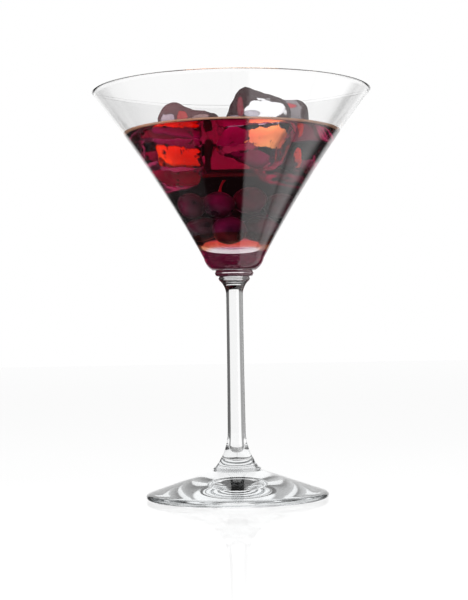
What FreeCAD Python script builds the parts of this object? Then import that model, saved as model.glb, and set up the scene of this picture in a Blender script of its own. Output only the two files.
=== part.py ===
"""A mixed drink with ice in a stemmed cocktail glass.

Millimetres, +Z up. The origin is the centre of the ring that the foot stands on.
The glass is turned from one profile, the drink fills its bowl up to a level and is
cut round three ice blocks that stand out of it close to the side of the bowl. The
bowl keeps its height when the glass is made taller, and the ice follows the bowl.
"""

import FreeCAD, Part
import os

import Sketcher

# what a sketch calls its axes, its origin and the points of an edge
V_AXIS = -2
H_AXIS = -1
ORIGIN = (-1, 1)
START = 1
END = 2
CENTRE = 3

FULL_TURN = 360
SAME_PLACE = 1e-6
CUBIC_MM_IN_ML = 1000

DRIVING_SIZES = {
    # the whole glass
    "glass_height": 172.8,
    "bowl_height": 76.0,
    "rim_diameter": 118.0,
    "foot_diameter": 78.0,
    # foot: a thin plate that rises to the stem, hollowed a little underneath
    "foot_edge": 2.5,
    "foot_rise": 12.2,
    "foot_hollow": 2.0,
    "foot_hollow_diameter": 68.0,
    # moulded step between the foot and the stem
    "step_diameter": 19.6,
    "step_height": 1.1,
    "step_bow": 0.45,
    "flare_diameter": 18.4,
    "flare_lip": 0.4,
    "flare_height": 14.8,
    "flare_bow": 1.4,
    # stem
    "stem_diameter": 7.15,
    "stem_foot_diameter": 7.7,
    "stem_waist": 0.09,
    # turned neck and collar that carry the bowl
    "neck_diameter": 12.7,
    "neck_flare_height": 5.4,
    "neck_flare_bow": 0.6,
    "neck_bead": 1.6,
    "neck_bead_bow": 0.4,
    "collar_diameter": 15.6,
    "collar_height": 2.2,
    "collar_step": 0.4,
    "collar_bow": 0.45,
    # bowl: a solid base, then a cone whose side opens a little towards the rim
    "base_start_diameter": 18.2,
    "base_diameter": 25.6,
    "base_height": 5.1,
    "base_bow": 0.65,
    "wall_bow": 1.85,
    "rim_wall": 1.0,
    # depth of the rounding on the foot's edge and the rim, 1 being a half circle
    "edge_roundness": 0.85,
    "base_wall": 3.7,
    # solid glass under the drink
    "base_thickness": 9.8,
    # how much further out the bowl's inside leans than its outside, in degrees
    "inner_lean": 3.9,
    # contents: how far the drink stands under the rim, and the radius of its surface
    # for which the sizes of the ice blocks are given
    "free_height": 17.4,
    "ice_room": 44.0,
    "ice_clearance": 0.5,
    "ice_corner": 6.5,
    "ice_melt": 4.0,
    "ice_taper": 4.0,
    "dent_diameter": 26.0,
    "dent_depth": 1.6,
}

# width, depth and height of each block, its bearing from the axis, how far its middle
# stands above the drink's surface, and its turn, forward lean and sideways tilt in degrees
ICE_SIZES = {
    "ice_left": {
        "wide": 24.5, "deep": 23.0, "tall": 26.4,
        "bearing": 156.2, "lift": -2.5,
        "turn": 8.5, "lean": 14.0, "tilt": 18.5,
    },
    "ice_centre": {
        "wide": 24.6, "deep": 22.1, "tall": 27.9,
        "bearing": -66.6, "lift": -1.0,
        "turn": -1.0, "lean": 14.5, "tilt": 22.0,
    },
    "ice_right": {
        "wide": 25.4, "deep": 23.4, "tall": 27.5,
        "bearing": 24.5, "lift": -1.2,
        "turn": -7.5, "lean": -20.0, "tilt": 10.0,
    },
}

# what follows from the driving sizes
DERIVED_SIZES = {
    "rim_radius": "sizes.rim_diameter / 2",
    "rim_line": "sizes.glass_height - sizes.rim_wall / 2",
    "edge_radius": "sizes.foot_edge / 2",
    "step_top": "sizes.foot_rise + sizes.step_height",
    "flare_start": "step_top + sizes.flare_lip",
    "base_start": "sizes.glass_height - sizes.bowl_height",
    "base_top": "base_start + sizes.base_height",
    "collar_top": "base_start - sizes.collar_step / 2",
    "collar_start": "collar_top - sizes.collar_height - sizes.collar_step",
    "neck_start": "collar_start - sizes.neck_bead",
    "stem_top": "neck_start - sizes.neck_flare_height",
    "bowl_bottom": "base_start + sizes.base_thickness",
    "fill_level": "sizes.glass_height - sizes.free_height",
    "base_radius": "sizes.base_diameter / 2",
    "wall_run": "rim_radius - base_radius",
    "wall_rise": "rim_line - base_top",
    "wall_chord": "sqrt(pow(wall_run; 2) + pow(wall_rise; 2))",
    # lean of the wall off the vertical where it leaves the base
    "wall_slope": "atan(wall_run / wall_rise) / 1deg - 2 * atan(2 * sizes.wall_bow / wall_chord) / 1deg",
    # round bottom of the bowl's space, which leaves base_wall at the side
    "bottom_reach": "base_radius * cos(wall_slope) + (bowl_bottom - base_top) * sin(wall_slope)",
    "bottom_radius": "(bottom_reach - sizes.base_wall) / (1 - sin(wall_slope))",
    "inner_slope": "wall_slope + sizes.inner_lean",
    "bottom_edge_radius": "bottom_radius * cos(inner_slope)",
    "bottom_edge_height": "bowl_bottom + bottom_radius * (1 - sin(inner_slope))",
    "inner_rim_radius": "rim_radius - sizes.rim_wall",
    # the arc that the bowl's inside follows, and its lean and radius at the drink's surface
    "inner_run": "inner_rim_radius - bottom_edge_radius",
    "inner_rise": "rim_line - bottom_edge_height",
    "inner_turn": "atan(inner_run / inner_rise) / 1deg - inner_slope",
    "inner_arc": "sqrt(pow(inner_run; 2) + pow(inner_rise; 2)) / (2 * sin(inner_turn))",
    "fill_slope": "asin((fill_level - bottom_edge_height) / inner_arc + sin(inner_slope)) / 1deg",
    "fill_radius": "bottom_edge_radius + inner_arc * (cos(inner_slope) - cos(fill_slope))",
    "ice_fit": "fill_radius / sizes.ice_room",
}

# outline of the glass from the axis under the foot, out and up to the rim: where each
# point lies across and up, and how far the edge to the next one bows out of the glass
OUTER_PROFILE = [
    ("0", "sizes.foot_hollow", "-sizes.foot_hollow / 4"),
    ("sizes.foot_hollow_diameter / 2", "0", None),
    ("sizes.foot_diameter / 2 - derived.edge_radius", "0", "sizes.edge_roundness * derived.edge_radius"),
    ("sizes.foot_diameter / 2 - derived.edge_radius", "sizes.foot_edge", None),
    ("sizes.step_diameter / 2", "sizes.foot_rise", "sizes.step_bow"),
    ("sizes.step_diameter / 2", "derived.step_top", None),
    ("sizes.flare_diameter / 2", "derived.flare_start", "-sizes.flare_bow"),
    ("sizes.stem_foot_diameter / 2", "derived.flare_start + sizes.flare_height", "-sizes.stem_waist"),
    ("sizes.stem_diameter / 2", "derived.stem_top", "-sizes.neck_flare_bow"),
    ("sizes.neck_diameter / 2", "derived.neck_start", "sizes.neck_bead_bow"),
    ("sizes.neck_diameter / 2", "derived.collar_start", None),
    ("sizes.collar_diameter / 2", "derived.collar_start + sizes.collar_step", "sizes.collar_bow"),
    ("sizes.collar_diameter / 2", "derived.collar_top", None),
    ("sizes.base_start_diameter / 2", "derived.base_start", "sizes.base_bow"),
    ("derived.base_radius", "derived.base_top", "-sizes.wall_bow"),
    ("derived.rim_radius", "derived.rim_line", "sizes.edge_roundness * sizes.rim_wall / 2"),
    ("derived.inner_rim_radius", "derived.rim_line", None),
    ("0", "derived.rim_line", None),
]


def ice_rules(name):
    """Size and place of a block: clear of the bowl's side by the named clearance."""
    wide, deep, tall = [f"{name}_{side}" for side in ("wide", "deep", "tall")]
    pinch = f"{name}_pinch"
    tilt, lean, swing = f"ice.{name}_tilt", f"ice.{name}_lean", f"{name}_swing"
    in_plan, upright = "cos(derived.fill_slope)", "sin(derived.fill_slope)"
    rules = {side: f"ice.{side} * derived.ice_fit" for side in (wide, deep, tall)}
    # how much narrower the block is at its ends, and its turn off its own bearing
    rules[pinch] = f"{tall} / 2 * tan(sizes.ice_taper)"
    rules[swing] = f"ice.{name}_turn - ice.{name}_bearing"
    # how far each of the block's own directions points into the side of the bowl
    rules[f"{wide}_in"] = f"abs({in_plan} * cos({swing}) * cos({tilt}) + {upright} * sin({tilt}))"
    rules[f"{deep}_in"] = (f"abs({in_plan} * cos({swing}) * sin({tilt}) * sin({lean})"
                           f" - {in_plan} * sin({swing}) * cos({lean})"
                           f" - {upright} * cos({tilt}) * sin({lean}))")
    rules[f"{tall}_in"] = (f"abs({in_plan} * cos({swing}) * sin({tilt}) * cos({lean})"
                           f" + {in_plan} * sin({swing}) * sin({lean})"
                           f" - {upright} * cos({tilt}) * cos({lean}))")
    rules[f"{name}_reach"] = (f"{wide}_in * ({wide} / 2 - {pinch} - sizes.ice_melt)"
                              f" + {deep}_in * ({deep} / 2 - {pinch} - sizes.ice_melt)"
                              f" + {tall}_in * ({tall} / 2 - sizes.ice_melt) + sizes.ice_melt")
    rules[f"{name}_out"] = (f"derived.fill_radius + ice.{name}_lift * tan(derived.fill_slope)"
                            f" - ({name}_reach + sizes.ice_clearance) / {in_plan}")
    return rules


def fill_sheet(document, name, values):
    """A spreadsheet with one aliased cell for each named value."""
    sheet = document.addObject("Spreadsheet::Sheet", name)
    for row, (alias, value) in enumerate(values.items(), start=1):
        sheet.set(f"A{row}", alias)
        sheet.set(f"B{row}", str(value))
        sheet.setAlias(f"B{row}", alias)
    document.recompute()
    return sheet


def new_sketch(body, name, plane_role):
    """A sketch on one of the body's own origin planes."""
    sketch = body.newObject("Sketcher::SketchObject", name)
    planes = [item for item in body.Origin.OriginFeatures if item.Role == plane_role]
    sketch.AttachmentSupport = (planes[0], [""])
    sketch.MapMode = "FlatFace"
    body.Document.recompute()
    return sketch


def worked_out(sketch, expression):
    """The plain number that an expression gives now."""
    return float(sketch.evalExpression(expression))


def bind(sketch, constraint, expression):
    """Add a sized constraint and let the sheet drive it."""
    index = sketch.addConstraint(constraint)
    sketch.setExpression(f"Constraints[{index}]", expression)


def hold_point(sketch, edge, end, across, up):
    """Fix one end of an edge at its distance from the axis and its height."""
    if across == "0":
        sketch.addConstraint(Sketcher.Constraint("PointOnObject", edge, end, V_AXIS))
    else:
        value = worked_out(sketch, across)
        bind(sketch, Sketcher.Constraint("DistanceX", *ORIGIN, edge, end, value), across)
    if up == "0":
        sketch.addConstraint(Sketcher.Constraint("PointOnObject", edge, end, H_AXIS))
    else:
        value = worked_out(sketch, up)
        bind(sketch, Sketcher.Constraint("DistanceY", *ORIGIN, edge, end, value), up)


def add_edge(sketch, start, finish, bow):
    """A line, or an arc that bows to the right of its way from start to finish."""
    chord = finish - start
    if bow == 0:
        return sketch.addGeometry(Part.LineSegment(start, finish))
    right = FreeCAD.Vector(chord.y, -chord.x, 0).normalize()
    middle = (start + finish) / 2 + right * bow
    return sketch.addGeometry(Part.Arc(start, middle, finish))


def arc_ends(sketch, edge, start):
    """Which end of an edge is its start: an arc always runs anticlockwise."""
    here = sketch.getPoint(edge, START)
    return (START, END) if (here - start).Length < SAME_PLACE else (END, START)


def draw_outline(sketch, points):
    """A closed outline whose corners and bows are all driven by the sheets."""
    places = [FreeCAD.Vector(worked_out(sketch, across), worked_out(sketch, up), 0)
              for across, up, bow in points]
    edges = []
    for index, (across, up, bow) in enumerate(points):
        start = places[index]
        finish = places[(index + 1) % len(points)]
        depth = worked_out(sketch, bow) if bow else 0
        edge = add_edge(sketch, start, finish, depth)
        first, last = arc_ends(sketch, edge, start)
        hold_point(sketch, edge, first, across, up)
        if bow:
            next_across, next_up, unused = points[(index + 1) % len(points)]
            chord_squared = f"pow({across} - ({next_across}); 2) + pow({up} - ({next_up}); 2)"
            radius = f"({chord_squared}) / (8 * abs({bow})) + abs({bow}) / 2"
            value = worked_out(sketch, radius)
            bind(sketch, Sketcher.Constraint("Radius", edge, value), radius)
        edges.append((edge, first, last))
    for (edge, first, last), (after, after_first, after_last) in zip(edges, edges[1:] + edges[:1]):
        sketch.addConstraint(Sketcher.Constraint("Coincident", edge, last, after, after_first))


def draw_bowl_space(sketch):
    """The bowl's space: a round bottom that runs smoothly into the side."""
    top = worked_out(sketch, "sizes.glass_height")
    rim = worked_out(sketch, "derived.inner_rim_radius")
    line = worked_out(sketch, "derived.rim_line")
    edge_radius = worked_out(sketch, "derived.bottom_edge_radius")
    edge_height = worked_out(sketch, "derived.bottom_edge_height")
    bottom = worked_out(sketch, "derived.bowl_bottom")
    round_radius = worked_out(sketch, "derived.bottom_radius")
    bow = worked_out(sketch, "sizes.wall_bow")
    swing_angle = worked_out(sketch, "90 - derived.inner_slope")

    low = FreeCAD.Vector(0, bottom, 0)
    centre = FreeCAD.Vector(0, bottom + round_radius, 0)
    swing = FreeCAD.Rotation(FreeCAD.Vector(0, 0, 1), swing_angle / 2)
    middle = centre + swing.multVec(FreeCAD.Vector(0, -round_radius, 0))
    side_foot = FreeCAD.Vector(edge_radius, edge_height, 0)
    side_top = FreeCAD.Vector(rim, line, 0)

    bottom_arc = sketch.addGeometry(Part.Arc(low, middle, side_foot))
    side_arc = add_edge(sketch, side_top, side_foot, bow)
    up_line = sketch.addGeometry(Part.LineSegment(side_top, FreeCAD.Vector(rim, top, 0)))
    top_line = sketch.addGeometry(Part.LineSegment(FreeCAD.Vector(rim, top, 0), FreeCAD.Vector(0, top, 0)))
    axis_line = sketch.addGeometry(Part.LineSegment(FreeCAD.Vector(0, top, 0), low))

    side_first, side_last = arc_ends(sketch, side_arc, side_top)
    low_first, low_last = arc_ends(sketch, bottom_arc, low)
    hold_point(sketch, bottom_arc, low_first, "0", "derived.bowl_bottom")
    hold_point(sketch, bottom_arc, low_last, "derived.bottom_edge_radius", "derived.bottom_edge_height")
    sketch.addConstraint(Sketcher.Constraint("PointOnObject", bottom_arc, CENTRE, V_AXIS))
    sketch.addConstraint(Sketcher.Constraint("Tangent", bottom_arc, low_last, side_arc, side_last))
    hold_point(sketch, side_arc, side_first, "derived.inner_rim_radius", "derived.rim_line")
    sketch.addConstraint(Sketcher.Constraint("Coincident", side_arc, side_first, up_line, START))
    sketch.addConstraint(Sketcher.Constraint("Vertical", up_line))
    sketch.addConstraint(Sketcher.Constraint("Coincident", up_line, END, top_line, START))
    sketch.addConstraint(Sketcher.Constraint("Horizontal", top_line))
    sketch.addConstraint(Sketcher.Constraint("Coincident", top_line, END, axis_line, START))
    sketch.addConstraint(Sketcher.Constraint("Coincident", axis_line, END, bottom_arc, low_first))
    hold_point(sketch, top_line, END, "0", "sizes.glass_height")


def turn_round_axis(body, kind, name, sketch):
    """A full turn of a sketch about the body's upright axis."""
    feature = body.newObject(kind, name)
    feature.Profile = sketch
    feature.ReferenceAxis = (sketch, ["V_Axis"])
    feature.Angle = FULL_TURN
    body.Document.recompute()
    return feature


def make_glass(document):
    """Foot, stem, collar and bowl in one turned piece, with the bowl hollowed out."""
    body = document.addObject("PartDesign::Body", "glass")
    outline = new_sketch(body, "glass_outline", "XZ_Plane")
    draw_outline(outline, OUTER_PROFILE)
    turned = turn_round_axis(body, "PartDesign::Revolution", "glass_turned", outline)
    volume_before = turned.Shape.Volume
    space = new_sketch(body, "glass_space", "XZ_Plane")
    draw_bowl_space(space)
    hollow = turn_round_axis(body, "PartDesign::Groove", "glass_hollow", space)
    if hollow.Shape.Volume >= volume_before:
        raise RuntimeError("the bowl was not hollowed out")
    return body


def rounded_rectangle(sketch, wide, deep, corner):
    """A rectangle about the origin with rounded corners, sized by the sheet."""
    half_wide = worked_out(sketch, wide) / 2
    half_deep = worked_out(sketch, deep) / 2
    radius = worked_out(sketch, corner)
    signs = [(1, -1), (1, 1), (-1, 1), (-1, -1)]
    centres = [FreeCAD.Vector(across * (half_wide - radius), back * (half_deep - radius), 0)
               for across, back in signs]
    arcs = []
    for index, centre in enumerate(centres):
        circle = Part.Circle(centre, FreeCAD.Vector(0, 0, 1), radius)
        start = FreeCAD.Units.Quantity(f"{-90 + 90 * index} deg").getValueAs("rad").Value
        finish = FreeCAD.Units.Quantity(f"{90 * index} deg").getValueAs("rad").Value
        arcs.append(sketch.addGeometry(Part.ArcOfCircle(circle, start, finish)))
    sides = []
    for arc, after in zip(arcs, arcs[1:] + arcs[:1]):
        line = Part.LineSegment(sketch.getPoint(arc, END), sketch.getPoint(after, START))
        side = sketch.addGeometry(line)
        sketch.addConstraint(Sketcher.Constraint("Tangent", arc, END, side, START))
        sketch.addConstraint(Sketcher.Constraint("Tangent", side, END, after, START))
        sides.append(side)
    for side, way in zip(sides, ("Vertical", "Horizontal", "Vertical", "Horizontal")):
        sketch.addConstraint(Sketcher.Constraint(way, side))
    for arc in arcs[1:]:
        sketch.addConstraint(Sketcher.Constraint("Equal", arcs[0], arc))
    bind(sketch, Sketcher.Constraint("Radius", arcs[0], radius), corner)
    bind(sketch, Sketcher.Constraint("DistanceX", sides[2], START, sides[0], START, 2 * half_wide), wide)
    bind(sketch, Sketcher.Constraint("DistanceY", sides[3], START, sides[1], START, 2 * half_deep), deep)
    sketch.addConstraint(Sketcher.Constraint("Symmetric", arcs[0], CENTRE, arcs[2], CENTRE, *ORIGIN))


def make_ice(document, name):
    """A half-melted block: tapered, rounded all over and dented at its front."""
    body = document.addObject("PartDesign::Body", name)
    plan = new_sketch(body, f"{name}_plan", "XY_Plane")
    rounded_rectangle(plan, f"ice_places.{name}_wide", f"ice_places.{name}_deep", "sizes.ice_corner")
    block = body.newObject("PartDesign::Pad", f"{name}_block")
    block.Profile = plan
    block.Midplane = True
    block.setExpression("Length", f"ice_places.{name}_tall")
    block.setExpression("TaperAngle", "-sizes.ice_taper")
    block.setExpression("TaperAngle2", "-sizes.ice_taper")
    document.recompute()

    dent = body.newObject("PartDesign::SubtractiveSphere", f"{name}_dent")
    dent.setExpression("Radius", "sizes.dent_diameter / 2")
    offset = f"ice_places.{name}_deep / 2 + sizes.dent_diameter / 2 - sizes.dent_depth"
    dent.setExpression("Placement", f"create(<<placement>>; vector(0; -({offset}); 0); rotation(0; 0; 0))")
    document.recompute()

    melted = body.newObject("PartDesign::Fillet", f"{name}_melted")
    ends = [f"Face{index}" for index, face in enumerate(dent.Shape.Faces, start=1)
            if isinstance(face.Surface, Part.Plane) and abs(face.normalAt(0, 0).z) > 0.99]
    melted.Base = (dent, ends)
    melted.setExpression("Radius", "sizes.ice_melt")
    document.recompute()

    across = f"ice_places.{name}_out * cos(ice.{name}_bearing)"
    back = f"ice_places.{name}_out * sin(ice.{name}_bearing)"
    place = f"vector({across}; {back}; derived.fill_level + ice.{name}_lift)"
    turns = f"rotation(ice.{name}_turn; ice.{name}_tilt; ice.{name}_lean)"
    body.setExpression("Placement", f"placement({place}; {turns})")
    document.recompute()
    return body


def make_drink(document, ice_blocks):
    """The bowl's space up to the drink's level, cut round the ice."""
    space = document.addObject("PartDesign::Body", "bowl_space")
    outline = new_sketch(space, "bowl_space_outline", "XZ_Plane")
    draw_bowl_space(outline)
    turn_round_axis(space, "PartDesign::Revolution", "bowl_space_turned", outline)

    level = document.addObject("Part::Cylinder", "level_block")
    level.setExpression("Radius", "derived.rim_radius")
    level.setExpression("Height", "derived.fill_level")

    filled = document.addObject("Part::Common", "filled_space")
    filled.Base = space
    filled.Tool = level

    all_ice = document.addObject("Part::MultiFuse", "all_ice")
    all_ice.Shapes = ice_blocks

    drink = document.addObject("Part::Cut", "drink")
    drink.Base = filled
    drink.Tool = all_ice
    document.recompute()
    return drink


def check_and_write(document, sub_parts):
    """Stop if anything in the document failed, then write one file for each piece."""
    for item in document.Objects:
        if "Invalid" in item.State or "Error" in item.State:
            raise RuntimeError(f"{item.Name} failed: {item.State}")
    for piece in sub_parts:
        shape = piece.Shape
        if shape.isNull() or not shape.isValid() or len(shape.Solids) != 1:
            raise RuntimeError(f"{piece.Label} is not one sound solid")
    os.makedirs("parts", exist_ok=True)
    for piece in sub_parts:
        piece.Shape.exportStep(os.path.join("parts", f"{piece.Label}.step"))
        print(piece.Label, round(piece.Shape.Volume / CUBIC_MM_IN_ML, 2), "ml")


def main():
    document = FreeCAD.newDocument("cocktail")
    fill_sheet(document, "sizes", DRIVING_SIZES)
    ice_values = {f"{name}_{what}": value for name, sizes in ICE_SIZES.items()
                  for what, value in sizes.items()}
    fill_sheet(document, "ice", ice_values)
    fill_sheet(document, "derived", {name: f"={rule}" for name, rule in DERIVED_SIZES.items()})
    ice_places = {what: f"={rule}" for name in ICE_SIZES for what, rule in ice_rules(name).items()}
    fill_sheet(document, "ice_places", ice_places)
    glass = make_glass(document)
    ice_blocks = [make_ice(document, name) for name in ICE_SIZES]
    drink = make_drink(document, ice_blocks)
    check_and_write(document, [glass, drink] + ice_blocks)


main()
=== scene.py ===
"""Looks of an iced mixed drink in a stemmed cocktail glass.

Metres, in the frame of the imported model: +Z up, the foot stands at Z = 0 and the
side that is seen first faces -Y.
"""

import math
import random

import bmesh
import bpy
from mathutils import Euler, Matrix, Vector, noise
from mathutils.bvhtree import BVHTree


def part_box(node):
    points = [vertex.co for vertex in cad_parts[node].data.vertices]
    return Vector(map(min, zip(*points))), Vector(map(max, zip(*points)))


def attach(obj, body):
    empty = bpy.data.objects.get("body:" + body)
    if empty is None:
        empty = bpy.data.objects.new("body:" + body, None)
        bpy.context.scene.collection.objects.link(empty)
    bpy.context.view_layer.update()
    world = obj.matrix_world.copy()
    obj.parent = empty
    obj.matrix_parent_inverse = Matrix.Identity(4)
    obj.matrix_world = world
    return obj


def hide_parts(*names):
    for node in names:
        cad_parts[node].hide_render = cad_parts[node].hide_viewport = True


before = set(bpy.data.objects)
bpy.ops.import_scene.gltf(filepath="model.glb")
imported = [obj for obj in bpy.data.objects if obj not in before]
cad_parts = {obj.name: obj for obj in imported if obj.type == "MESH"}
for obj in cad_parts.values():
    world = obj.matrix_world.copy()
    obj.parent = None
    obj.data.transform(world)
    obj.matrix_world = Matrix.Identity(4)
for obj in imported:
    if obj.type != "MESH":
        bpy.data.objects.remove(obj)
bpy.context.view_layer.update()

MM = 0.001
TAU = 2 * math.pi

# ---------------------------------------------------------------- sizes, in mm

GLASS_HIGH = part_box("glass")[1]
DRINK_LOW, DRINK_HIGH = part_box("drink")
RIM_RADIUS = GLASS_HIGH[0] / MM
BOWL_BOTTOM = DRINK_LOW[2] / MM
FILL_LEVEL = DRINK_HIGH[2] / MM

EDGE_ROUNDNESS = 0.85
RIM_WALL = 1.0
RIM_LINE = GLASS_HIGH[2] / MM - EDGE_ROUNDNESS * RIM_WALL / 2
FOOT_RADIUS = 39.0
FOOT_EDGE = 2.5
FOOT_RISE = 12.2
FOOT_HOLLOW = 2.0
FOOT_HOLLOW_RADIUS = 34.0
STEP_RADIUS = 9.8
STEP_TOP = FOOT_RISE + 1.1
FLARE_RADIUS = 9.2
FLARE_START = STEP_TOP + 0.4
STEM_FOOT = FLARE_START + 14.8
STEM_FOOT_RADIUS = 3.85
STEM_RADIUS = 3.575
BASE_START = BOWL_BOTTOM - 9.8
BASE_START_RADIUS = 9.1
BASE_TOP = BASE_START + 5.1
BASE_RADIUS = 12.8
COLLAR_TOP = BASE_START - 0.2
COLLAR_START = COLLAR_TOP - 2.6
COLLAR_RADIUS = 7.8
NECK_START = COLLAR_START - 1.6
NECK_RADIUS = 6.35
STEM_TOP = NECK_START - 5.4
WALL_BOW = 1.85
BASE_WALL = 3.7
INNER_LEAN = 3.9

ROUND_STEPS = 240          # steps round the axis of every turned piece
DRINK_REACH = 0.12         # how far the drink reaches into the glass
CAVITY_GAP = 0.06          # how far the ice reaches into the drink

# how far the drink climbs the glass and the ice, and over what length that fades
MENISCUS_RISE = 0.8
MENISCUS_LENGTH = 1.5
ICE_MENISCUS_RISE = 0.7

# where each look begins or ends
RIM_BAND = 1.0             # bright glass, down from the rim's line
BASE_PAINT_GAP = 1.5        # clear glass between the base's painted purple, a painted refraction of the drink, and the bowl's bottom
BOTTOM_BAND = 6.0          # amber light, up from the bowl's bottom
AMBER_START = 1.0          # below this the bottom lets plain light through
AMBER_FULL = 1.8
EDGE_START = 0.24          # the edge painted as a pale highlight line, up from the level of the drink
EDGE_REACH = 40.0          # it is only the edge at the glass, this far from the axis
EDGE_FACES_UP = 0.2
LEVEL_FACES_UP = 0.9
DRY_START = 0.3            # dry ice, up from the level of the drink
SHARP_ANGLE = 50           # degrees between faces that meet in a crisp line
SPECK_FACES = 50           # a loose bit with fewer faces than this is no part of a piece

# size, middle from the axis and the level of the drink, lean, tilt and turn in degrees,
# and lumps: middle in the block, width and height
ICE_BLOCKS = {
    "ice_left": {
        "size": (24.5, 23.0, 26.4), "centre": (-18.5, 8.2, -2.5), "angles": (14.0, 18.5, 8.5), "seed": 3,
        "lumps": [
            ((-12.0, -9.0, 10.0), 5.0, 3.0),
            ((-13.0, -9.0, 4.0), 5.0, 4.0),
            ((6.0, -9.0, 13.0), 3.0, 2.4),
        ],
    },
    "ice_centre": {
        "size": (24.6, 22.1, 27.9), "centre": (9.1, -21.1, -1.0), "angles": (14.5, 22.0, -1.0), "seed": 11,
    },
    "ice_right": {
        "size": (25.4, 23.4, 27.5), "centre": (19.1, 8.7, -1.2), "angles": (-20.0, 10.0, -7.5), "seed": 19,
    },
}

# flat chips of ice sunk in front of the blocks, which carry painted light: the first a painted orange
# glow, the second a dark sliver of painted shade
CHIPS = [
    {"size": (20.0, 4.5, 13.5), "centre": (-19.6, -14.0, -7.2), "angles": (0.0, -4.0, 14.0), "seed": 7},
    {"size": (5.0, 5.0, 17.0), "centre": (-8.6, -18.0, -9.4), "angles": (0.0, 4.0, 10.0), "seed": 9},
]

# radius of each berry and its middle, across, back and up from the bowl's bottom
BERRIES = [
    (6.3, (-1.5, -6.7, 8.4)),
    (6.0, (-9.5, 2.6, 10.8)),
    (6.2, (8.0, 3.5, 10.5)),
    (5.8, (-5.0, -10.0, 19.4)),
    (5.9, (5.5, -4.0, 22.5)),
    (5.7, (14.3, 3.2, 21.5)),
    (5.8, (-14.0, -2.8, 20.5)),
    (5.6, (-6.5, 6.0, 21.5)),
    (5.8, (3.5, 12.0, 22.0)),
]
STALK_BERRY = 3            # the berry that has a stalk

# ------------------------------------------------------------------ mesh tools


def bowed(start, finish, bow, steps):
    """Points from start up to, not including, finish, along an arc that bows right."""
    start, finish = Vector(start), Vector(finish)
    chord = finish - start
    right = Vector((chord.y, -chord.x)).normalized()
    if abs(bow) < 1e-9:
        return [start.lerp(finish, index / steps) for index in range(steps)]
    half = chord.length / 2
    radius = (half * half + bow * bow) / (2 * abs(bow))
    centre = (start + finish) / 2 + right * (bow - math.copysign(radius, bow))
    first = math.atan2(start.y - centre.y, start.x - centre.x)
    last = math.atan2(finish.y - centre.y, finish.x - centre.x)
    turn = (last - first + math.pi) % TAU - math.pi
    return [centre + radius * Vector((math.cos(first + turn * index / steps),
                                      math.sin(first + turn * index / steps)))
            for index in range(steps)]


def outline(points, step):
    """A fine outline through (across, up, bow) points; the last one ends it."""
    line = []
    for (across, up, bow), (next_across, next_up, _) in zip(points, points[1:]):
        length = math.hypot(next_across - across, next_up - up)
        steps = max(2, round((length + 2 * abs(bow)) / step))
        line += bowed((across, up), (next_across, next_up), bow, steps)
    line.append(Vector(points[-1][:2]))
    return line


def new_piece(name, mesh):
    """An object of its own for a finished mesh."""
    piece = bpy.data.objects.new(name, mesh)
    bpy.context.scene.collection.objects.link(piece)
    return piece


def turned_mesh(name, line, steps=ROUND_STEPS):
    """A closed mesh from an outline in mm that starts and ends on the axis."""
    shape = bmesh.new()
    low = shape.verts.new((0, 0, line[0].y * MM))
    high = shape.verts.new((0, 0, line[-1].y * MM))
    rings = []
    for point in line[1:-1]:
        rings.append([shape.verts.new((point.x * MM * math.cos(TAU * index / steps),
                                       point.x * MM * math.sin(TAU * index / steps),
                                       point.y * MM)) for index in range(steps)])
    for index in range(steps):
        after = (index + 1) % steps
        shape.faces.new((low, rings[0][after], rings[0][index]))
        shape.faces.new((high, rings[-1][index], rings[-1][after]))
        for ring, upper in zip(rings, rings[1:]):
            shape.faces.new((ring[index], ring[after], upper[after], upper[index]))
    bmesh.ops.recalc_face_normals(shape, faces=shape.faces)
    mesh = bpy.data.meshes.new(name)
    shape.to_mesh(mesh)
    shape.free()
    mesh.shade_smooth()
    return mesh


# -------------------------------------------------------------- node materials


def new_material(name):
    """An empty node material and its output."""
    material = bpy.data.materials.new(name)
    material.use_nodes = True
    tree = material.node_tree
    tree.nodes.clear()
    output = tree.nodes.new("ShaderNodeOutputMaterial")
    return material, tree, output


def object_noise(tree, scale, detail=3.0, roughness=0.5):
    """Noise over the piece, in its own metres."""
    place = tree.nodes.new("ShaderNodeTexCoord")
    pattern = tree.nodes.new("ShaderNodeTexNoise")
    pattern.inputs["Scale"].default_value = scale
    pattern.inputs["Detail"].default_value = detail
    pattern.inputs["Roughness"].default_value = roughness
    tree.links.new(place.outputs["Object"], pattern.inputs["Vector"])
    return pattern.outputs["Fac"]


def in_range(tree, value, low, high):
    """A 0 to 1 value spread over another range."""
    spread = tree.nodes.new("ShaderNodeMapRange")
    spread.inputs["To Min"].default_value = low
    spread.inputs["To Max"].default_value = high
    tree.links.new(value, spread.inputs["Value"])
    return spread.outputs["Result"]


def math_node(tree, operation, first, second=None):
    """One Math node on sockets or plain numbers."""
    node = tree.nodes.new("ShaderNodeMath")
    node.operation = operation
    for index, value in enumerate((first, second)):
        if value is None:
            continue
        if isinstance(value, (int, float)):
            node.inputs[index].default_value = value
        else:
            tree.links.new(value, node.inputs[index])
    return node.outputs["Value"]


def bump(tree, height, distance, strength=1.0):
    """A bump whose depth is given in metres."""
    node = tree.nodes.new("ShaderNodeBump")
    node.inputs["Strength"].default_value = strength
    node.inputs["Distance"].default_value = distance
    tree.links.new(height, node.inputs["Height"])
    return node.outputs["Normal"]


def object_parts(tree):
    """A place on the piece in its own metres, in three parts."""
    place = tree.nodes.new("ShaderNodeTexCoord")
    parts = tree.nodes.new("ShaderNodeSeparateXYZ")
    tree.links.new(place.outputs["Object"], parts.inputs["Vector"])
    return parts


def mixed_shaders(tree, factor, first, second):
    """Two shaders mixed by a socket."""
    mix = tree.nodes.new("ShaderNodeMixShader")
    tree.links.new(factor, mix.inputs["Fac"])
    tree.links.new(first, mix.inputs[1])
    tree.links.new(second, mix.inputs[2])
    return mix.outputs["Shader"]


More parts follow.
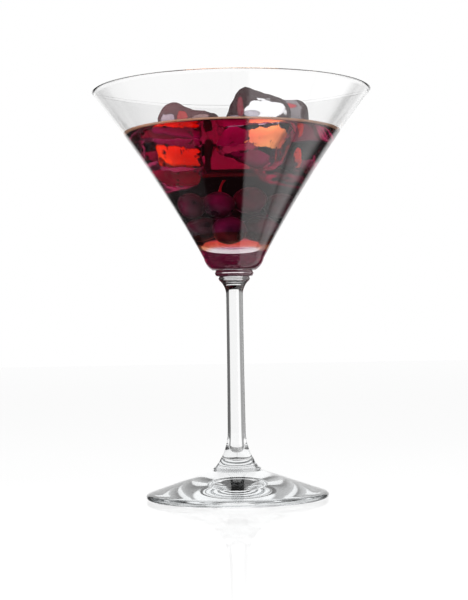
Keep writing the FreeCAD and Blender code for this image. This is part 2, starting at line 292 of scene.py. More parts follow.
def open_to_lamps(tree, shader):
    """A clear shader that casts no shadow, as lamps shine through it."""
    rays = tree.nodes.new("ShaderNodeLightPath")
    open_way = tree.nodes.new("ShaderNodeBsdfTransparent")
    return mixed_shaders(tree, rays.outputs["Is Shadow Ray"], shader.outputs["BSDF"],
                         open_way.outputs["BSDF"])


def fill_with(tree, output, medium_look):
    """The colour that light takes on inside a clear piece, and how fast, per metre."""
    colour, density = medium_look
    medium = tree.nodes.new("ShaderNodeVolumeAbsorption")
    medium.inputs["Color"].default_value = (*colour, 1)
    medium.inputs["Density"].default_value = density
    tree.links.new(medium.outputs["Volume"], output.inputs["Volume"])


def clear_shader(tree, ior, specular):
    """Clear and polished; specular 0 takes the mirror image off a face between two clear pieces."""
    shader = tree.nodes.new("ShaderNodeBsdfPrincipled")
    shader.inputs["Base Color"].default_value = (1, 1, 1, 1)
    shader.inputs["Transmission Weight"].default_value = 1.0
    shader.inputs["IOR"].default_value = ior
    shader.inputs["Roughness"].default_value = 0.0
    shader.inputs["Specular Tint"].default_value = (specular, specular, specular, 1)
    return shader


def clear_material(name, ior, wave_scale, wave_depth, haze=0.0, medium=None, specular=1.0, painted_drink=None):
    """A clear solid or liquid: polished, with a faint waviness, and, if it has one, a diffuse purple layer
    of painted refraction of the drink.
    """
    material, tree, output = new_material(name)
    shader = clear_shader(tree, ior, specular)
    waves = object_noise(tree, wave_scale, 2.0)
    tree.links.new(bump(tree, waves, wave_depth), shader.inputs["Normal"])
    smears = object_noise(tree, wave_scale * 0.4, 4.0)
    tree.links.new(in_range(tree, smears, 0.0, haze), shader.inputs["Roughness"])
    surface = open_to_lamps(tree, shader)
    if painted_drink:
        painted_layer = tree.nodes.new("ShaderNodeBsdfPrincipled")
        painted_layer.inputs["Base Color"].default_value = (*painted_drink, 1)
        painted_layer.inputs["Roughness"].default_value = 0.6
        painted_layer.inputs["Specular IOR Level"].default_value = 0.0
        share = in_range(tree, object_noise(tree, 120, 2.0), 0.1, 0.3)
        surface = mixed_shaders(tree, share, surface, painted_layer.outputs["BSDF"])
    tree.links.new(surface, output.inputs["Surface"])
    if medium:
        fill_with(tree, output, medium)
    return material


GLASS_IOR = 1.55
RIM_IOR = 1.14
DRINK_IOR = 1.42
ICE_IOR = 1.31
GLASS_MEDIUM = ((0.78, 0.86, 0.9), 4.0)
DRINK_MEDIUM = ((0.88, 0.467, 0.667), 150.0)
# painted refraction: the purple of the drink seen through the thick base, painted into the glass as a
# diffuse layer
BASE_PAINTED_DRINK = (0.13, 0.005, 0.032)
GLASS_WAVES = (60, 0.00002)
DRINK_WAVES = (90, 0.00001)

GLASS_LOOK = clear_material("clear_glass", GLASS_IOR, *GLASS_WAVES, 0.01, GLASS_MEDIUM)
WET_GLASS_LOOK = clear_material("clear_glass_wet", GLASS_IOR, *GLASS_WAVES, 0.0, GLASS_MEDIUM, 0.0)
BASE_LOOK = clear_material("clear_glass_base", GLASS_IOR, *GLASS_WAVES, 0.0, GLASS_MEDIUM, 1.0, BASE_PAINTED_DRINK)
RIM_LOOK = clear_material("clear_glass_rim", RIM_IOR, *GLASS_WAVES)
DRINK_LOOK = clear_material("red_drink", DRINK_IOR, *DRINK_WAVES, 0.0, DRINK_MEDIUM, 0.0)


# painted light and shade on the ice: glow, highlights, reflections and dark facets that stand in for light
# through the drink; middle and half size in mm, up from the bowl's bottom, and colour
# painted shade: the dark ground of the ice above the drink, and the lines round its patches
DRY_PAINTED_SHADE = (0.012, 0.003, 0.004)
DRY_PAINTED_LIGHT_AND_SHADE = [
    ((-24.0, 0.0, 54.0), (14.0, 30.0, 12.0), (0.042, 0.016, 0.018)),
    ((-26.5, -8.0, 52.5), (3.0, 30.0, 3.0), (0.16, 0.12, 0.14)),
    ((-21.0, -8.0, 54.0), (2.4, 30.0, 2.6), (0.16, 0.02, 0.02)),
    ((-13.0, -8.0, 54.0), (3.5, 30.0, 1.4), (0.1, 0.06, 0.06)),
    ((24.0, 0.0, 54.0), (5.5, 12.0, 12.0), (0.07, 0.06, 0.065)),
    ((23.0, 0.0, 58.5), (4.0, 12.0, 1.2), (0.14, 0.01, 0.015)),
    ((21.5, -4.0, 54.0), (1.6, 6.0, 1.8), (0.25, 0.25, 0.28)),
    ((14.0, -30.0, 53.6), (7.6, 20.0, 4.6), (0.33, 0.33, 0.34)),
    ((8.5, -30.0, 51.8), (3.0, 20.0, 1.3), (0.16, 0.15, 0.17)),
    ((1.5, -30.0, 50.0), (3.4, 20.0, 1.6), (0.13, 0.1, 0.12)),
    ((3.5, -30.0, 54.0), (1.2, 20.0, 4.0), (0.07, 0.01, 0.015)),
]
# painted shade: the dark ground of the patches under the drink, the lines round them and the dark lines
# through them
WET_PAINTED_SHADE = (0.02, 0.0, 0.003)
WET_PAINTED_LIGHT_AND_SHADE = [
    ((-20.0, -4.0, 34.0), (13.0, 12.0, 4.0), (0.9, 0.006, 0.14)),
    ((-20.0, -4.0, 43.0), (11.5, 12.0, 3.4), (0.22, 0.003, 0.05)),
    ((4.0, -30.0, 35.0), (12.5, 12.0, 4.6), (0.13, 0.001, 0.025)),
    ((-1.0, -30.0, 45.0), (9.0, 12.0, 4.0), (0.18, 0.001, 0.035)),
    ((14.5, -31.0, 43.6), (9.6, 12.0, 4.8), (0.9, 0.45, 0.1)),
    ((22.0, -7.0, 40.5), (1.8, 6.0, 6.5), (1.0, 0.16, 0.04)),
    ((17.0, -7.0, 37.0), (4.5, 8.0, 8.0), (0.045, 0.035, 0.05)),
]
# on the first chip: a painted orange glow, and painted magenta above it
AMBER_CHIP_PAINTED_LIGHT = [
    ((-20.0, -15.5, 40.0), (11.0, 8.0, 5.6), (1.0, 0.055, 0.002)),
    ((-20.5, -15.5, 49.6), (14.0, 9.0, 5.4), (0.16, 0.002, 0.05)),
]
# on the second chip: painted shade
SLIVER_PAINTED_SHADE = [
    ((-8.6, -18.0, 40.0), (2.6, 8.0, 8.5), (0.02, 0.0, 0.003)),
]


def patch_group():
    """A node group: 1 inside a rounded patch whose edge wanders a little, 0 outside it."""
    group = bpy.data.node_groups.new("wandering_patch", "ShaderNodeTree")
    for name, kind in (("Middle", "NodeSocketVector"), ("Reach", "NodeSocketVector")):
        group.interface.new_socket(name=name, in_out="INPUT", socket_type=kind)
    for name in ("Mask", "Edge"):
        group.interface.new_socket(name=name, in_out="OUTPUT", socket_type="NodeSocketFloat")
    given = group.nodes.new("NodeGroupInput")
    result = group.nodes.new("NodeGroupOutput")
    place = group.nodes.new("ShaderNodeTexCoord")
    centred = group.nodes.new("ShaderNodeMapping")
    centred.vector_type = "TEXTURE"
    group.links.new(place.outputs["Object"], centred.inputs["Vector"])
    group.links.new(given.outputs["Middle"], centred.inputs["Location"])
    group.links.new(given.outputs["Reach"], centred.inputs["Scale"])
    span = group.nodes.new("ShaderNodeVectorMath")
    span.operation = "LENGTH"
    group.links.new(centred.outputs["Vector"], span.inputs[0])
    edge = in_range(group, object_noise(group, 190, 3.0, 0.6), 0.3, 1.7)
    inside = math_node(group, "SUBTRACT", edge, span.outputs["Value"])
    mask = math_node(group, "MULTIPLY", inside, 20.0)
    mask = math_node(group, "MINIMUM", math_node(group, "MAXIMUM", mask, 0.0), 1.0)
    group.links.new(mask, result.inputs["Mask"])
    away = math_node(group, "MULTIPLY", math_node(group, "ABSOLUTE", inside), 11.0)
    rim = math_node(group, "MAXIMUM", math_node(group, "SUBTRACT", 1.0, away), 0.0)
    group.links.new(rim, result.inputs["Edge"])
    return group


PATCH = patch_group()


def patch_mask(tree, middle, reach):
    """The mask of one patch, given in mm from the bowl's bottom."""
    node = tree.nodes.new("ShaderNodeGroup")
    node.node_tree = PATCH
    across, back, up = middle
    node.inputs["Middle"].default_value = (across * MM, back * MM, (up + BOWL_BOTTOM) * MM)
    node.inputs["Reach"].default_value = [value * MM for value in reach]
    return node.outputs["Mask"], node.outputs["Edge"]


def painted_patches(tree, ground, stains, line_colour):
    """Patches of painted light and shade laid over a ground colour, each with a thin line of painted shade
    round it, and where they are.
    """
    line_strength = 0.8
    cover = None
    for middle, reach, colour in stains:
        mask, edge = patch_mask(tree, middle, reach)
        ground = blended(tree, mask, ground, colour)
        ground = blended(tree, math_node(tree, "MULTIPLY", edge, line_strength), ground, line_colour)
        cover = mask if cover is None else math_node(tree, "MAXIMUM", cover, mask)
    return ground, cover


def blended(tree, factor, first, second):
    """Two colours mixed; each is a socket or plain numbers."""
    node = tree.nodes.new("ShaderNodeMix")
    node.data_type = "RGBA"
    for name, value in (("Factor", factor), ("A", first), ("B", second)):
        socket = node.inputs[name]
        if isinstance(value, tuple):
            socket.default_value = (*value, 1)
        elif isinstance(value, float):
            socket.default_value = value
        else:
            tree.links.new(value, socket)
    return node.outputs["Result"]


FROST_SHARE_DRY = 0.97
FROST_SHARE_WET = 0.94
UNDER_DRINK_TINT = (0.8, 0.5, 0.6)


def frosted_material(name, wet_stains, dry_stains=()):
    """Ice with frosted patches painted with glow, highlights and shade, and dark painted lines; clear
    between them.
    """
    material, tree, output = new_material(name)
    clear = clear_shader(tree, ICE_IOR, 0.5)
    normal = bump(tree, object_noise(tree, 170, 2.0), 0.0004)
    tree.links.new(normal, clear.inputs["Normal"])
    height = object_parts(tree).outputs["Z"]
    over = math_node(tree, "GREATER_THAN", height, (FILL_LEVEL + DRY_START) * MM)
    wet, cover = painted_patches(tree, WET_PAINTED_SHADE, wet_stains, WET_PAINTED_SHADE)
    # painted shade: dark lines through the patches under the drink
    painted_dark_lines = tree.nodes.new("ShaderNodeMapRange")
    painted_dark_lines.inputs["From Min"].default_value = 0.34
    painted_dark_lines.inputs["From Max"].default_value = 0.42
    tree.links.new(object_noise(tree, 260, 4.0, 0.6), painted_dark_lines.inputs["Value"])
    wet = blended(tree, painted_dark_lines.outputs["Result"], WET_PAINTED_SHADE, wet)
    # above the drink, painted shade, highlights and reflections cover the ice
    dry, _ = painted_patches(tree, DRY_PAINTED_SHADE, dry_stains, DRY_PAINTED_SHADE)
    tree.links.new(blended(tree, over, UNDER_DRINK_TINT, dry), clear.inputs["Base Color"])

    frosted = tree.nodes.new("ShaderNodeBsdfPrincipled")
    frosted.inputs["Roughness"].default_value = 0.3
    frosted.inputs["Specular IOR Level"].default_value = 0.0
    tree.links.new(normal, frosted.inputs["Normal"])
    tree.links.new(blended(tree, over, wet, dry), frosted.inputs["Base Color"])

    under = math_node(tree, "SUBTRACT", FROST_SHARE_WET, over)
    wet_share = math_node(tree, "MULTIPLY", cover, under)
    dry_share = math_node(tree, "MULTIPLY", over, FROST_SHARE_DRY)
    share = math_node(tree, "MAXIMUM", math_node(tree, "MAXIMUM", dry_share, wet_share), 0.0)
    surface = mixed_shaders(tree, share, open_to_lamps(tree, clear), frosted.outputs["BSDF"])
    tree.links.new(surface, output.inputs["Surface"])
    return material


def berry_material(name, dark, light):
    """Dark wet fruit skin, mottled from red to nearly black."""
    material, tree, output = new_material(name)
    shader = tree.nodes.new("ShaderNodeBsdfPrincipled")
    mottle = object_noise(tree, 120, 4.0)
    colours = tree.nodes.new("ShaderNodeValToRGB")
    colours.color_ramp.elements[0].position = 0.35
    colours.color_ramp.elements[0].color = (*dark, 1)
    colours.color_ramp.elements[1].position = 0.7
    colours.color_ramp.elements[1].color = (*light, 1)
    tree.links.new(mottle, colours.inputs["Fac"])
    tree.links.new(colours.outputs["Color"], shader.inputs["Base Color"])
    tree.links.new(in_range(tree, mottle, 0.2, 0.4), shader.inputs["Roughness"])
    shader.inputs["Specular IOR Level"].default_value = 0.2
    tree.links.new(bump(tree, object_noise(tree, 900, 2.0), 0.0001), shader.inputs["Normal"])
    tree.links.new(shader.outputs["BSDF"], output.inputs["Surface"])
    return material


BERRY_LOOK = berry_material("berry_skin", (0.012, 0.0003, 0.004), (0.1, 0.002, 0.022))
STALK_LOOK = berry_material("berry_stalk", (0.15, 0.005, 0.01), (0.35, 0.012, 0.018))
# ice looks that carry painted glow, highlights and shade
ICE_PAINTED_LOOK = frosted_material("clear_ice", WET_PAINTED_LIGHT_AND_SHADE, DRY_PAINTED_LIGHT_AND_SHADE)
AMBER_GLOW_LOOK = frosted_material("amber_ice_painted_glow", AMBER_CHIP_PAINTED_LIGHT)
SLIVER_SHADE_LOOK = frosted_material("dark_ice_painted_shade", SLIVER_PAINTED_SHADE)


def edge_material():
    """The drink's raised edge, painted pale orange as a thin highlight line."""
    material, tree, output = new_material("red_drink_edge_glint")
    shader = tree.nodes.new("ShaderNodeBsdfPrincipled")
    tint = tree.nodes.new("ShaderNodeValToRGB")
    tint.color_ramp.elements[0].color = (1.0, 0.3, 0.1, 1)
    tint.color_ramp.elements[1].color = (1.0, 0.9, 0.65, 1)
    tree.links.new(object_noise(tree, 60, 3.0), tint.inputs["Fac"])
    tree.links.new(tint.outputs["Color"], shader.inputs["Base Color"])
    shader.inputs["Roughness"].default_value = 0.2
    tree.links.new(shader.outputs["BSDF"], output.inputs["Surface"])
    return material


EDGE_GLINT_LOOK = edge_material()


def bottom_material():
    """The drink's round bottom, which lets amber light through, and plain light at its lowest."""
    material, tree, output = new_material("red_drink_bottom")
    clear = clear_shader(tree, DRINK_IOR, 0.0)
    height = tree.nodes.new("ShaderNodeMapRange")
    height.inputs["From Min"].default_value = (BOWL_BOTTOM + AMBER_START) * MM
    height.inputs["From Max"].default_value = (BOWL_BOTTOM + AMBER_FULL) * MM
    tree.links.new(object_parts(tree).outputs["Z"], height.inputs["Value"])
    # painted amber glow: a tint on the clear bottom stands in for orange light through it
    amber = blended(tree, object_noise(tree, 200, 3.0), (1.0, 0.12, 0.02), (1.0, 0.45, 0.2))
    tint = blended(tree, height.outputs["Result"], (1.0, 1.0, 1.0), amber)
    tree.links.new(tint, clear.inputs["Base Color"])
    tree.links.new(open_to_lamps(tree, clear), output.inputs["Surface"])
    fill_with(tree, output, DRINK_MEDIUM)
    return material


BOTTOM_LOOK = bottom_material()

# ----------------------------------------------------------------------- glass

WALL_RUN = RIM_RADIUS - BASE_RADIUS
WALL_RISE = RIM_LINE - BASE_TOP
WALL_CHORD = math.hypot(WALL_RUN, WALL_RISE)
WALL_SLOPE = math.atan2(WALL_RUN, WALL_RISE) - 2 * math.atan(2 * WALL_BOW / WALL_CHORD)
BOTTOM_REACH = BASE_RADIUS * math.cos(WALL_SLOPE) + (BOWL_BOTTOM - BASE_TOP) * math.sin(WALL_SLOPE)
BOTTOM_RADIUS = (BOTTOM_REACH - BASE_WALL) / (1 - math.sin(WALL_SLOPE))
INNER_SLOPE = WALL_SLOPE + math.radians(INNER_LEAN)
BOTTOM_EDGE = (BOTTOM_RADIUS * math.cos(INNER_SLOPE),
               BOWL_BOTTOM + BOTTOM_RADIUS * (1 - math.sin(INNER_SLOPE)))
INNER_RIM = (RIM_RADIUS - RIM_WALL, RIM_LINE)


def bottom_bow():
    """How deep the round bottom bows below its chord."""
    return BOTTOM_RADIUS * (1 - math.cos((math.pi / 2 - INNER_SLOPE) / 2))


def side_bow():
    """How deep the inside of the wall bows, so that it runs on from the round bottom."""
    run, rise = INNER_RIM[0] - BOTTOM_EDGE[0], INNER_RIM[1] - BOTTOM_EDGE[1]
    return math.hypot(run, rise) / 2 * math.tan((math.atan2(run, rise) - INNER_SLOPE) / 2)


GLASS_PROFILE = [
    (0, FOOT_HOLLOW, -FOOT_HOLLOW / 4),
    (FOOT_HOLLOW_RADIUS, 0, 0),
    (FOOT_RADIUS - FOOT_EDGE / 2, 0, EDGE_ROUNDNESS * FOOT_EDGE / 2),
    (FOOT_RADIUS - FOOT_EDGE / 2, FOOT_EDGE, 0),
    (STEP_RADIUS, FOOT_RISE, 0.45),
    (STEP_RADIUS, STEP_TOP, 0),
    (FLARE_RADIUS, FLARE_START, -1.4),
    (STEM_FOOT_RADIUS, STEM_FOOT, -0.09),
    (STEM_RADIUS, STEM_TOP, -0.6),
    (NECK_RADIUS, NECK_START, 0.4),
    (NECK_RADIUS, COLLAR_START, 0),
    (COLLAR_RADIUS, COLLAR_START + 0.4, 0.45),
    (COLLAR_RADIUS, COLLAR_TOP, 0),
    (BASE_START_RADIUS, BASE_START, 0.65),
    (BASE_RADIUS, BASE_TOP, -WALL_BOW),
    (RIM_RADIUS, RIM_LINE, EDGE_ROUNDNESS * RIM_WALL / 2),
    (*INNER_RIM, side_bow()),
    (*BOTTOM_EDGE, -bottom_bow()),
    (0, BOWL_BOTTOM, 0),
]


def make_glass():
    """Foot, stem, collar and bowl, turned as finely as polished glass needs."""
    mesh = turned_mesh("glass_turned", outline(GLASS_PROFILE, 1.4))
    for look in (GLASS_LOOK, WET_GLASS_LOOK, RIM_LOOK, BASE_LOOK):
        mesh.materials.append(look)
    for face in mesh.polygons:
        height = face.center.z / MM
        if height > RIM_LINE - RIM_BAND:
            face.material_index = 2
        # the base carries the painted refraction of the drink
        if BASE_START < height < BOWL_BOTTOM - BASE_PAINT_GAP:
            face.material_index = 3
        if BASE_TOP < height < FILL_LEVEL:
            outward = face.normal.x * face.center.x + face.normal.y * face.center.y
            if outward < 0 or face.normal.z > LEVEL_FACES_UP:
                face.material_index = 1
    return new_piece("glass_body", mesh)


# ------------------------------------------------------------------------- ice


def rounded_box_point(point, half, rounding):
    """Where a point of a cube lands on a box with rounded edges."""
    inner = Vector([max(-(size - rounding), min(size - rounding, value * size))
                    for value, size in zip(point, half)])
    outer = Vector([value * size for value, size in zip(point, half)])
    away = (outer - inner).normalized()
    return inner + away * rounding, away


ICE_CUTS = 37
ICE_ROUNDING = 5.6         # of an edge, or this share of a thin block's smallest size
THIN_ROUNDING = 0.42
ICE_WEAR = 0.3             # how far all faces have melted back
DENT_SPREAD = 0.45         # how far off the middle of a face, in halves of the block
DENT_REACH = (4.5, 8.0)
DENT_DEPTH = (0.7, 1.9)    # in a block whose smallest half size is the next value
DENTED_HALF = 11
SWELL = (0.11, 0.9)        # waves for each mm, and height
RIPPLE = (0.33, 0.35)
FINE_RIPPLE = (0.8, 0.12)
WORLD_UP = Vector((0, 0, 1))


def wave(spot, kind):
    """The height of one kind of wave at a place on a block."""
    rate, height = kind
    return noise.noise(spot * rate) * height


def mound(spot, centre, reach, height):
    """The height of a round mound at a place on a block."""
    return height * math.exp(-(spot - centre).length_squared / (reach * reach))


def ice_mesh(name, block, shrink=0.0):
    """A half-melted block: rounded, dented and gently rippled, in its place."""
    luck = random.Random(block["seed"])
    half = Vector(block["size"]) / 2
    rounding = min(ICE_ROUNDING, THIN_ROUNDING * min(block["size"]))
    dents = []
    for axis in range(3):
        for side in (-1, 1):
            spot = Vector([luck.uniform(-DENT_SPREAD, DENT_SPREAD) * size for size in half])
            spot[axis] = side * half[axis]
            reach = luck.uniform(*DENT_REACH)
            dents.append((spot, reach, luck.uniform(*DENT_DEPTH) * min(half) / DENTED_HALF))
    drift = Vector([luck.uniform(-50, 50) for _ in range(3)])
    place = Vector(block["centre"]) + FILL_LEVEL * WORLD_UP
    lean, tilt, turn = [math.radians(angle) for angle in block["angles"]]
    swing = Euler((lean, tilt, turn), "XYZ").to_matrix()

    shape = bmesh.new()
    bmesh.ops.create_cube(shape, size=2.0)
    bmesh.ops.subdivide_edges(shape, edges=shape.edges, cuts=ICE_CUTS, use_grid_fill=True)
    for vert in shape.verts:
        spot, away = rounded_box_point(vert.co, half, rounding)
        depth = 0.0
        for dent in dents:
            depth += mound(spot, *dent)
        for centre, reach, high in block.get("lumps", ()):
            depth -= mound(spot, Vector(centre), reach, high)
        ripple = wave(spot - drift, RIPPLE) + wave(spot + drift, FINE_RIPPLE)
        spot += away * (wave(spot + drift, SWELL) + ripple - depth - ICE_WEAR - shrink)
        vert.co = (swing @ spot + place) * MM
    mesh = bpy.data.meshes.new(name)
    shape.to_mesh(mesh)
    shape.free()
    mesh.shade_smooth()
    return mesh


def make_ice():
    """The three blocks that stand out of the drink."""
    pieces = {}
    for name, block in ICE_BLOCKS.items():
        mesh = ice_mesh(f"{name}_melted", block)
        mesh.materials.append(ICE_PAINTED_LOOK)
        pieces[name] = new_piece(f"{name}_block", mesh)
    return pieces


# ----------------------------------------------------------------------- drink


def drop_specks(mesh):
    """Delete loose specks of a few faces that a cut can leave."""
    built = bmesh.new()
    built.from_mesh(mesh)
    left = set(built.faces)
    specks = []
    while left:
        island = [left.pop()]
        for face in island:
            for edge in face.edges:
                if len(edge.link_faces) != 2:
                    continue
                for other in edge.link_faces:
                    if other in left:
                        left.remove(other)
                        island.append(other)
        if len(island) < SPECK_FACES:
            specks.extend(island)
    bmesh.ops.delete(built, geom=specks, context="FACES")
    built.to_mesh(mesh)
    built.free()


DRINK_STEP = 1.2           # along the wall
FIRST_RING = 0.25          # between rings of the surface, at the glass; then wider
RING_GROWTH = 0.05
RING_POWER = 0.8
LAST_RING = 1.0


def drink_outline():
    """The drink's half section: up the inside of the wall, then across its surface."""
    line = outline([(0, BOWL_BOTTOM, bottom_bow()), (*BOTTOM_EDGE, -side_bow()), (*INNER_RIM, 0)],
                   DRINK_STEP)
    line = [point for point in line[:-1] if point.y < FILL_LEVEL + MENISCUS_RISE]
    normals = []
    for index, point in enumerate(line):
        along = line[min(index + 1, len(line) - 1)] - line[max(index - 1, 0)]
        normals.append(Vector((along.y, -along.x)).normalized())
    line = [point + normal * DRINK_REACH for point, normal in zip(line, normals)]
    line[0].x = 0
    edge = line[-1].x
    radius = edge
    while radius > LAST_RING:
        radius -= FIRST_RING + RING_GROWTH * (edge - radius) ** RING_POWER
        if radius > LAST_RING:
            rise = MENISCUS_RISE * math.exp(-(edge - radius) / MENISCUS_LENGTH)
            line.append(Vector((radius, FILL_LEVEL + rise)))
    line.append(Vector((0, FILL_LEVEL)))
    return line, edge


def draw_up_at_ice(mesh, blocks, edge):
    """Raise the surface where it meets the ice."""
    trees = []
    for cavity in blocks:
        trees.append(BVHTree.FromPolygons([vert.co for vert in cavity.vertices],
                                          [face.vertices[:] for face in cavity.polygons]))
    top = (FILL_LEVEL - 0.01) * MM
    for vert in mesh.vertices:
        if vert.co.z < top or math.hypot(vert.co.x, vert.co.y) > (edge - 0.1) * MM:
            continue
        nearest = min(tree.find_nearest(vert.co)[3] for tree in trees)
        vert.co.z += ICE_MENISCUS_RISE * MM * math.exp(-nearest / (MENISCUS_LENGTH * MM))


def cut_hollow(piece, cavity):
    """Cut the room of one block out of the drink."""
    cutter = new_piece(cavity.name, cavity)
    cut = piece.modifiers.new("cavity", "BOOLEAN")
    cut.operation = "DIFFERENCE"
    cut.solver = "EXACT"
    cut.object = cutter
    bpy.context.view_layer.update()
    graph = bpy.context.evaluated_depsgraph_get()
    result = bpy.data.meshes.new_from_object(piece.evaluated_get(graph))
    piece.modifiers.remove(cut)
    piece.data = result
    bpy.data.objects.remove(cutter)


def make_drink():
    """The drink: drawn up at the wall and the ice, reaching just into the glass."""
    line, edge = drink_outline()
    mesh = turned_mesh("drink_filled", line)
    blocks = [ice_mesh(f"{name}_cavity", block, CAVITY_GAP) for name, block in ICE_BLOCKS.items()]
    draw_up_at_ice(mesh, blocks, edge)
    piece = new_piece("drink_body", mesh)
    for cavity in blocks:
        cut_hollow(piece, cavity)
    drop_specks(piece.data)
    piece.data.materials.clear()
    for look in (DRINK_LOOK, EDGE_GLINT_LOOK, BOTTOM_LOOK):
        piece.data.materials.append(look)
    for face in piece.data.polygons:
        height = face.center.z / MM
        at_glass = math.hypot(face.center.x, face.center.y) > EDGE_REACH * MM
        risen = height > FILL_LEVEL + EDGE_START and face.normal.z > EDGE_FACES_UP
        low = height < BOWL_BOTTOM + BOTTOM_BAND
        face.material_index = 1 if at_glass and risen else 2 if low else 0
    piece.data.shade_smooth()
    piece.data.set_sharp_from_angle(angle=math.radians(SHARP_ANGLE))
    return piece


# --------------------------------------------------------------------- berries


BERRY_SQUASH = (0.9, 1.0)
BERRY_UNEVEN = 0.03        # share of the radius
DIMPLE_DEPTH = 0.9
DIMPLE_WIDTH = 0.03


def make_berries():
    """The fruit sunk in the bowl: round, a little uneven, with a small dimple each."""
    luck = random.Random(5)
    shape = bmesh.new()
    for radius, middle in BERRIES:
        fresh = bmesh.ops.create_icosphere(shape, subdivisions=4, radius=1.0)["verts"]
        drift = Vector([luck.uniform(-9, 9) for _ in range(3)])
        swing = Euler([luck.uniform(0, TAU) for _ in range(3)]).to_matrix()
        squash = luck.uniform(*BERRY_SQUASH)
        centre = Vector(middle) + BOWL_BOTTOM * WORLD_UP
        for vert in fresh:
            way = vert.co.normalized()
            length = radius * (1 + BERRY_UNEVEN * noise.noise(way * 1.7 + drift))
            length -= DIMPLE_DEPTH * math.exp(-(1 - way.z) / DIMPLE_WIDTH)
            spot = Vector((way.x, way.y, way.z * squash)) * length
            vert.co = (swing @ spot + centre) * MM
    mesh = bpy.data.meshes.new("berries_round")
    shape.to_mesh(mesh)
    shape.free()
    mesh.shade_smooth()
    mesh.materials.append(BERRY_LOOK)
    return new_piece("berries", mesh)


def make_chips():
    """Chips of ice below the surface that carry painted light and shade, one look for each."""
    pieces = []
    for block, look in zip(CHIPS, (AMBER_GLOW_LOOK, SLIVER_SHADE_LOOK)):
        mesh = ice_mesh("chip_melted", block)
        mesh.materials.append(look)
        pieces.append(new_piece("ice_chip", mesh))
    return pieces


STALK_ACROSS = 1.6         # how far its tip bends to the right
STALK_FORWARD = 0.6
STALK_HEIGHT = 5.5
STALK_RADIUS = 0.38
STALK_FOOT_FLARE = 0.3
STALK_TIP_FLARE = 0.2


def make_stalk():
    """The short stalk of one berry: a thin bent tube."""
    radius, middle = BERRIES[STALK_BERRY]
    foot = Vector(middle) + Vector((0.5, -1.0, radius * 0.9 + BOWL_BOTTOM))
    steps = 10
    sides = 10
    shape = bmesh.new()
    rings = []
    for step in range(steps + 1):
        share = step / steps
        centre = foot + Vector((STALK_ACROSS * share * share, -STALK_FORWARD * share,
                                STALK_HEIGHT * share))
        thick = STALK_RADIUS + STALK_FOOT_FLARE * (1 - share) ** 4 + STALK_TIP_FLARE * share ** 6
        rings.append([shape.verts.new((centre + thick * Vector((math.cos(TAU * side / sides),
                                                                math.sin(TAU * side / sides), 0))) * MM)
                      for side in range(sides)])
    for ring, upper in zip(rings, rings[1:]):
        for side in range(sides):
            after = (side + 1) % sides
            shape.faces.new((ring[side], ring[after], upper[after], upper[side]))
    shape.faces.new(rings[0][::-1])
    shape.faces.new(rings[-1])
    bmesh.ops.recalc_face_normals(shape, faces=shape.faces)
    mesh = bpy.data.meshes.new("stalk_bent")
    shape.to_mesh(mesh)
    shape.free()
    mesh.shade_smooth()
    mesh.materials.append(STALK_LOOK)
    return new_piece("berry_stalk", mesh)


glass = make_glass()
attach(glass, "root")
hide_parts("glass")

ice_pieces = make_ice()
for node, ice in ice_pieces.items():
    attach(ice, "root")
    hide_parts(node)

drink = make_drink()
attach(drink, "root")
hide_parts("drink")

berries = make_berries()
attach(berries, "root")

stalk = make_stalk()
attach(stalk, "root")

for chip in make_chips():
    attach(chip, "root")

# ------------------------------------------------------- floor, light, camera


FLOOR_COLOUR = 0.44
FLOOR_GLOW = 0.62
FLOOR_DROP = 0.02          # mm that the floor lies under the foot


def make_floor():
    """A plain white floor that keeps a soft shadow and a faint mirror image."""
    mesh = bpy.data.meshes.new("floor_plane")
    half = 3.0
    mesh.from_pydata([(-half, -half, 0), (half, -half, 0), (half, half, 0), (-half, half, 0)],
                     [], [(0, 1, 2, 3)])
    floor = new_piece("floor", mesh)
    floor.location.z = -FLOOR_DROP * MM
    material, tree, output = new_material("floor_white")
    shader = tree.nodes.new("ShaderNodeBsdfPrincipled")
    shader.inputs["Base Color"].default_value = (FLOOR_COLOUR, FLOOR_COLOUR, FLOOR_COLOUR, 1)
    shader.inputs["Roughness"].default_value = 0.04
    glow = tree.nodes.new("ShaderNodeEmission")
    rays = tree.nodes.new("ShaderNodeLightPath")
    share = math_node(tree, "MULTIPLY", rays.outputs["Is Camera Ray"], FLOOR_GLOW)
    surface = mixed_shaders(tree, share, shader.outputs["BSDF"], glow.outputs["Emission"])
    tree.links.new(surface, output.inputs["Surface"])
    mesh.materials.append(material)
    floor.visible_glossy = False
    floor.visible_transmission = False


def soft_band(tree, value, low, high, blur):
    """1 between two values and 0 outside them, with soft edges."""
    parts = []
    for start, finish in ((low - blur, low + blur), (high + blur, high - blur)):
        ramp = tree.nodes.new("ShaderNodeMapRange")
        ramp.interpolation_type = "SMOOTHSTEP"
        ramp.inputs["From Min"].default_value = start
        ramp.inputs["From Max"].default_value = finish
        tree.links.new(value, ramp.inputs["Value"])
        parts.append(ramp.outputs["Result"])
    return math_node(tree, "MULTIPLY", *parts)


# What the studio round the glass shows: azimuth from the back towards the right and
# elevation in degrees, the blur of the edges, and the brightness
SEEN_THROUGH = [
    ((-180, 0), (-90, 20), 9.0, 0.3),
    ((0, 180), (-90, 20), 9.0, 0.14),
    ((-24, 32), (-45, 30), 3.0, 1.0),
    ((-180, -36), (-95, -16), 5.0, 1.0),
    ((40, 180), (-95, -16), 5.0, 1.0),
]
SEEN_IN_GLOSS = [
    ((-22, 28), (-90, 60), 5.0, 1.0),
    ((50, 84), (-85, 40), 11.0, 1.7),
    ((84, 154), (-85, 40), 5.0, 1.6),
    ((-118, -62), (-85, 40), 2.5, 0.15),
]
DARK_THROUGH = 0.012
DARK_IN_GLOSS = 0.03
PLAIN_LEVEL = 0.9
DEGREES = 180 / math.pi


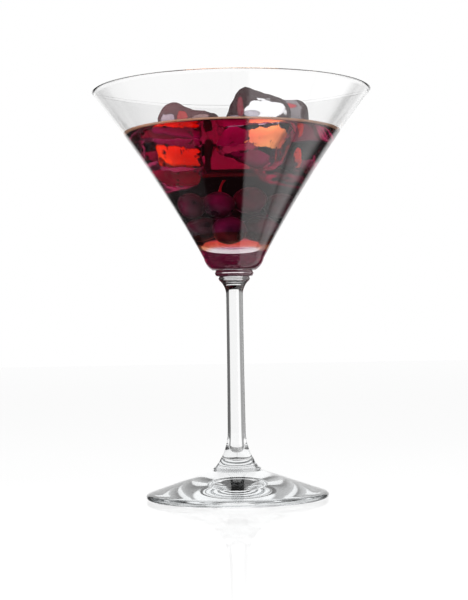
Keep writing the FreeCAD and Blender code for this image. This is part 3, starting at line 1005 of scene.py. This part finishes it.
def studio_level(tree, azimuth, elevation, panels, dark):
    """The brightness of the studio in a direction, from a list of panels."""
    level = dark
    for (left, right), (low, high), blur, bright in panels:
        mask = math_node(tree, "MULTIPLY", soft_band(tree, azimuth, left, right, blur),
                         soft_band(tree, elevation, low, high, blur))
        level = math_node(tree, "MAXIMUM", level, math_node(tree, "MULTIPLY", mask, bright))
    return level


def make_world():
    """White where it is looked at, and a studio of panels for what glass shows."""
    world = bpy.data.worlds.new("studio")
    bpy.context.scene.world = world
    world.use_nodes = True
    tree = world.node_tree
    tree.nodes.clear()
    output = tree.nodes.new("ShaderNodeOutputWorld")
    place = tree.nodes.new("ShaderNodeTexCoord")
    parts = tree.nodes.new("ShaderNodeSeparateXYZ")
    tree.links.new(place.outputs["Generated"], parts.inputs["Vector"])
    turn = math_node(tree, "ARCTAN2", parts.outputs["X"], parts.outputs["Y"])
    azimuth = math_node(tree, "MULTIPLY", turn, DEGREES)
    rise = math_node(tree, "ARCSINE", parts.outputs["Z"])
    elevation = math_node(tree, "MULTIPLY", rise, DEGREES)
    rays = tree.nodes.new("ShaderNodeLightPath")
    through = studio_level(tree, azimuth, elevation, SEEN_THROUGH, DARK_THROUGH)
    gloss = studio_level(tree, azimuth, elevation, SEEN_IN_GLOSS, DARK_IN_GLOSS)
    is_through = rays.outputs["Is Transmission Ray"]
    shown = math_node(tree, "MAXIMUM", rays.outputs["Is Glossy Ray"], is_through)
    is_gloss = math_node(tree, "SUBTRACT", shown, is_through)
    level = math_node(tree, "MULTIPLY", math_node(tree, "SUBTRACT", 1.0, shown), PLAIN_LEVEL)
    level = math_node(tree, "ADD", level, math_node(tree, "MULTIPLY", gloss, is_gloss))
    level = math_node(tree, "ADD", level, math_node(tree, "MULTIPLY", through, is_through))
    level = math_node(tree, "MAXIMUM", level, rays.outputs["Is Camera Ray"])
    light = tree.nodes.new("ShaderNodeBackground")
    light.inputs["Color"].default_value = (1, 1, 1, 1)
    tree.links.new(level, light.inputs["Strength"])
    tree.links.new(light.outputs["Background"], output.inputs["Surface"])


def make_lamp(name, place, target, size, power):
    """A rectangular soft lamp that points at the glass."""
    light = bpy.data.lights.new(name, "AREA")
    light.shape = "RECTANGLE"
    light.size, light.size_y = size
    light.energy = power
    lamp = bpy.data.objects.new(name, light)
    lamp.location = place
    lamp.rotation_euler = (Vector(target) - Vector(place)).to_track_quat("-Z", "Y").to_euler()
    lamp.visible_glossy = False
    lamp.visible_transmission = False
    lamp.visible_camera = False
    bpy.context.scene.collection.objects.link(lamp)


def make_camera():
    """A long level lens at the height of the stem, with the bowl brought in by its shift."""
    distance = 0.6489
    height = 0.0694
    roll = -0.0162
    camera_data = bpy.data.cameras.new("camera")
    camera_data.sensor_width = 36.0
    camera_data.lens = 91.6
    camera_data.shift_x = -0.0019
    camera_data.shift_y = 0.0578
    camera = bpy.data.objects.new("camera", camera_data)
    camera.location = (0, -distance, height)
    camera.rotation_euler = (math.pi / 2, 0, 0)
    camera.rotation_euler.rotate_axis("Z", roll)
    bpy.context.scene.collection.objects.link(camera)
    bpy.context.scene.camera = camera


make_floor()
make_world()
make_lamp("right_panel", (0.7, -0.5, 0.5), (0, 0, 0.12), (0.5, 0.8), 14.0)
make_lamp("left_panel", (-0.8, -0.1, 0.4), (0, 0, 0.12), (0.3, 0.8), 8.0)
make_lamp("front_panel", (-0.25, -0.9, 0.35), (0, 0, 0.14), (0.4, 0.4), 22.0)
make_camera()

scene = bpy.context.scene
scene.view_settings.view_transform = "Standard"
# light passes many clear faces in the bowl
scene.cycles.max_bounces = 24
scene.cycles.transmission_bounces = 24
scene.cycles.glossy_bounces = 12
scene.cycles.transparent_max_bounces = 24
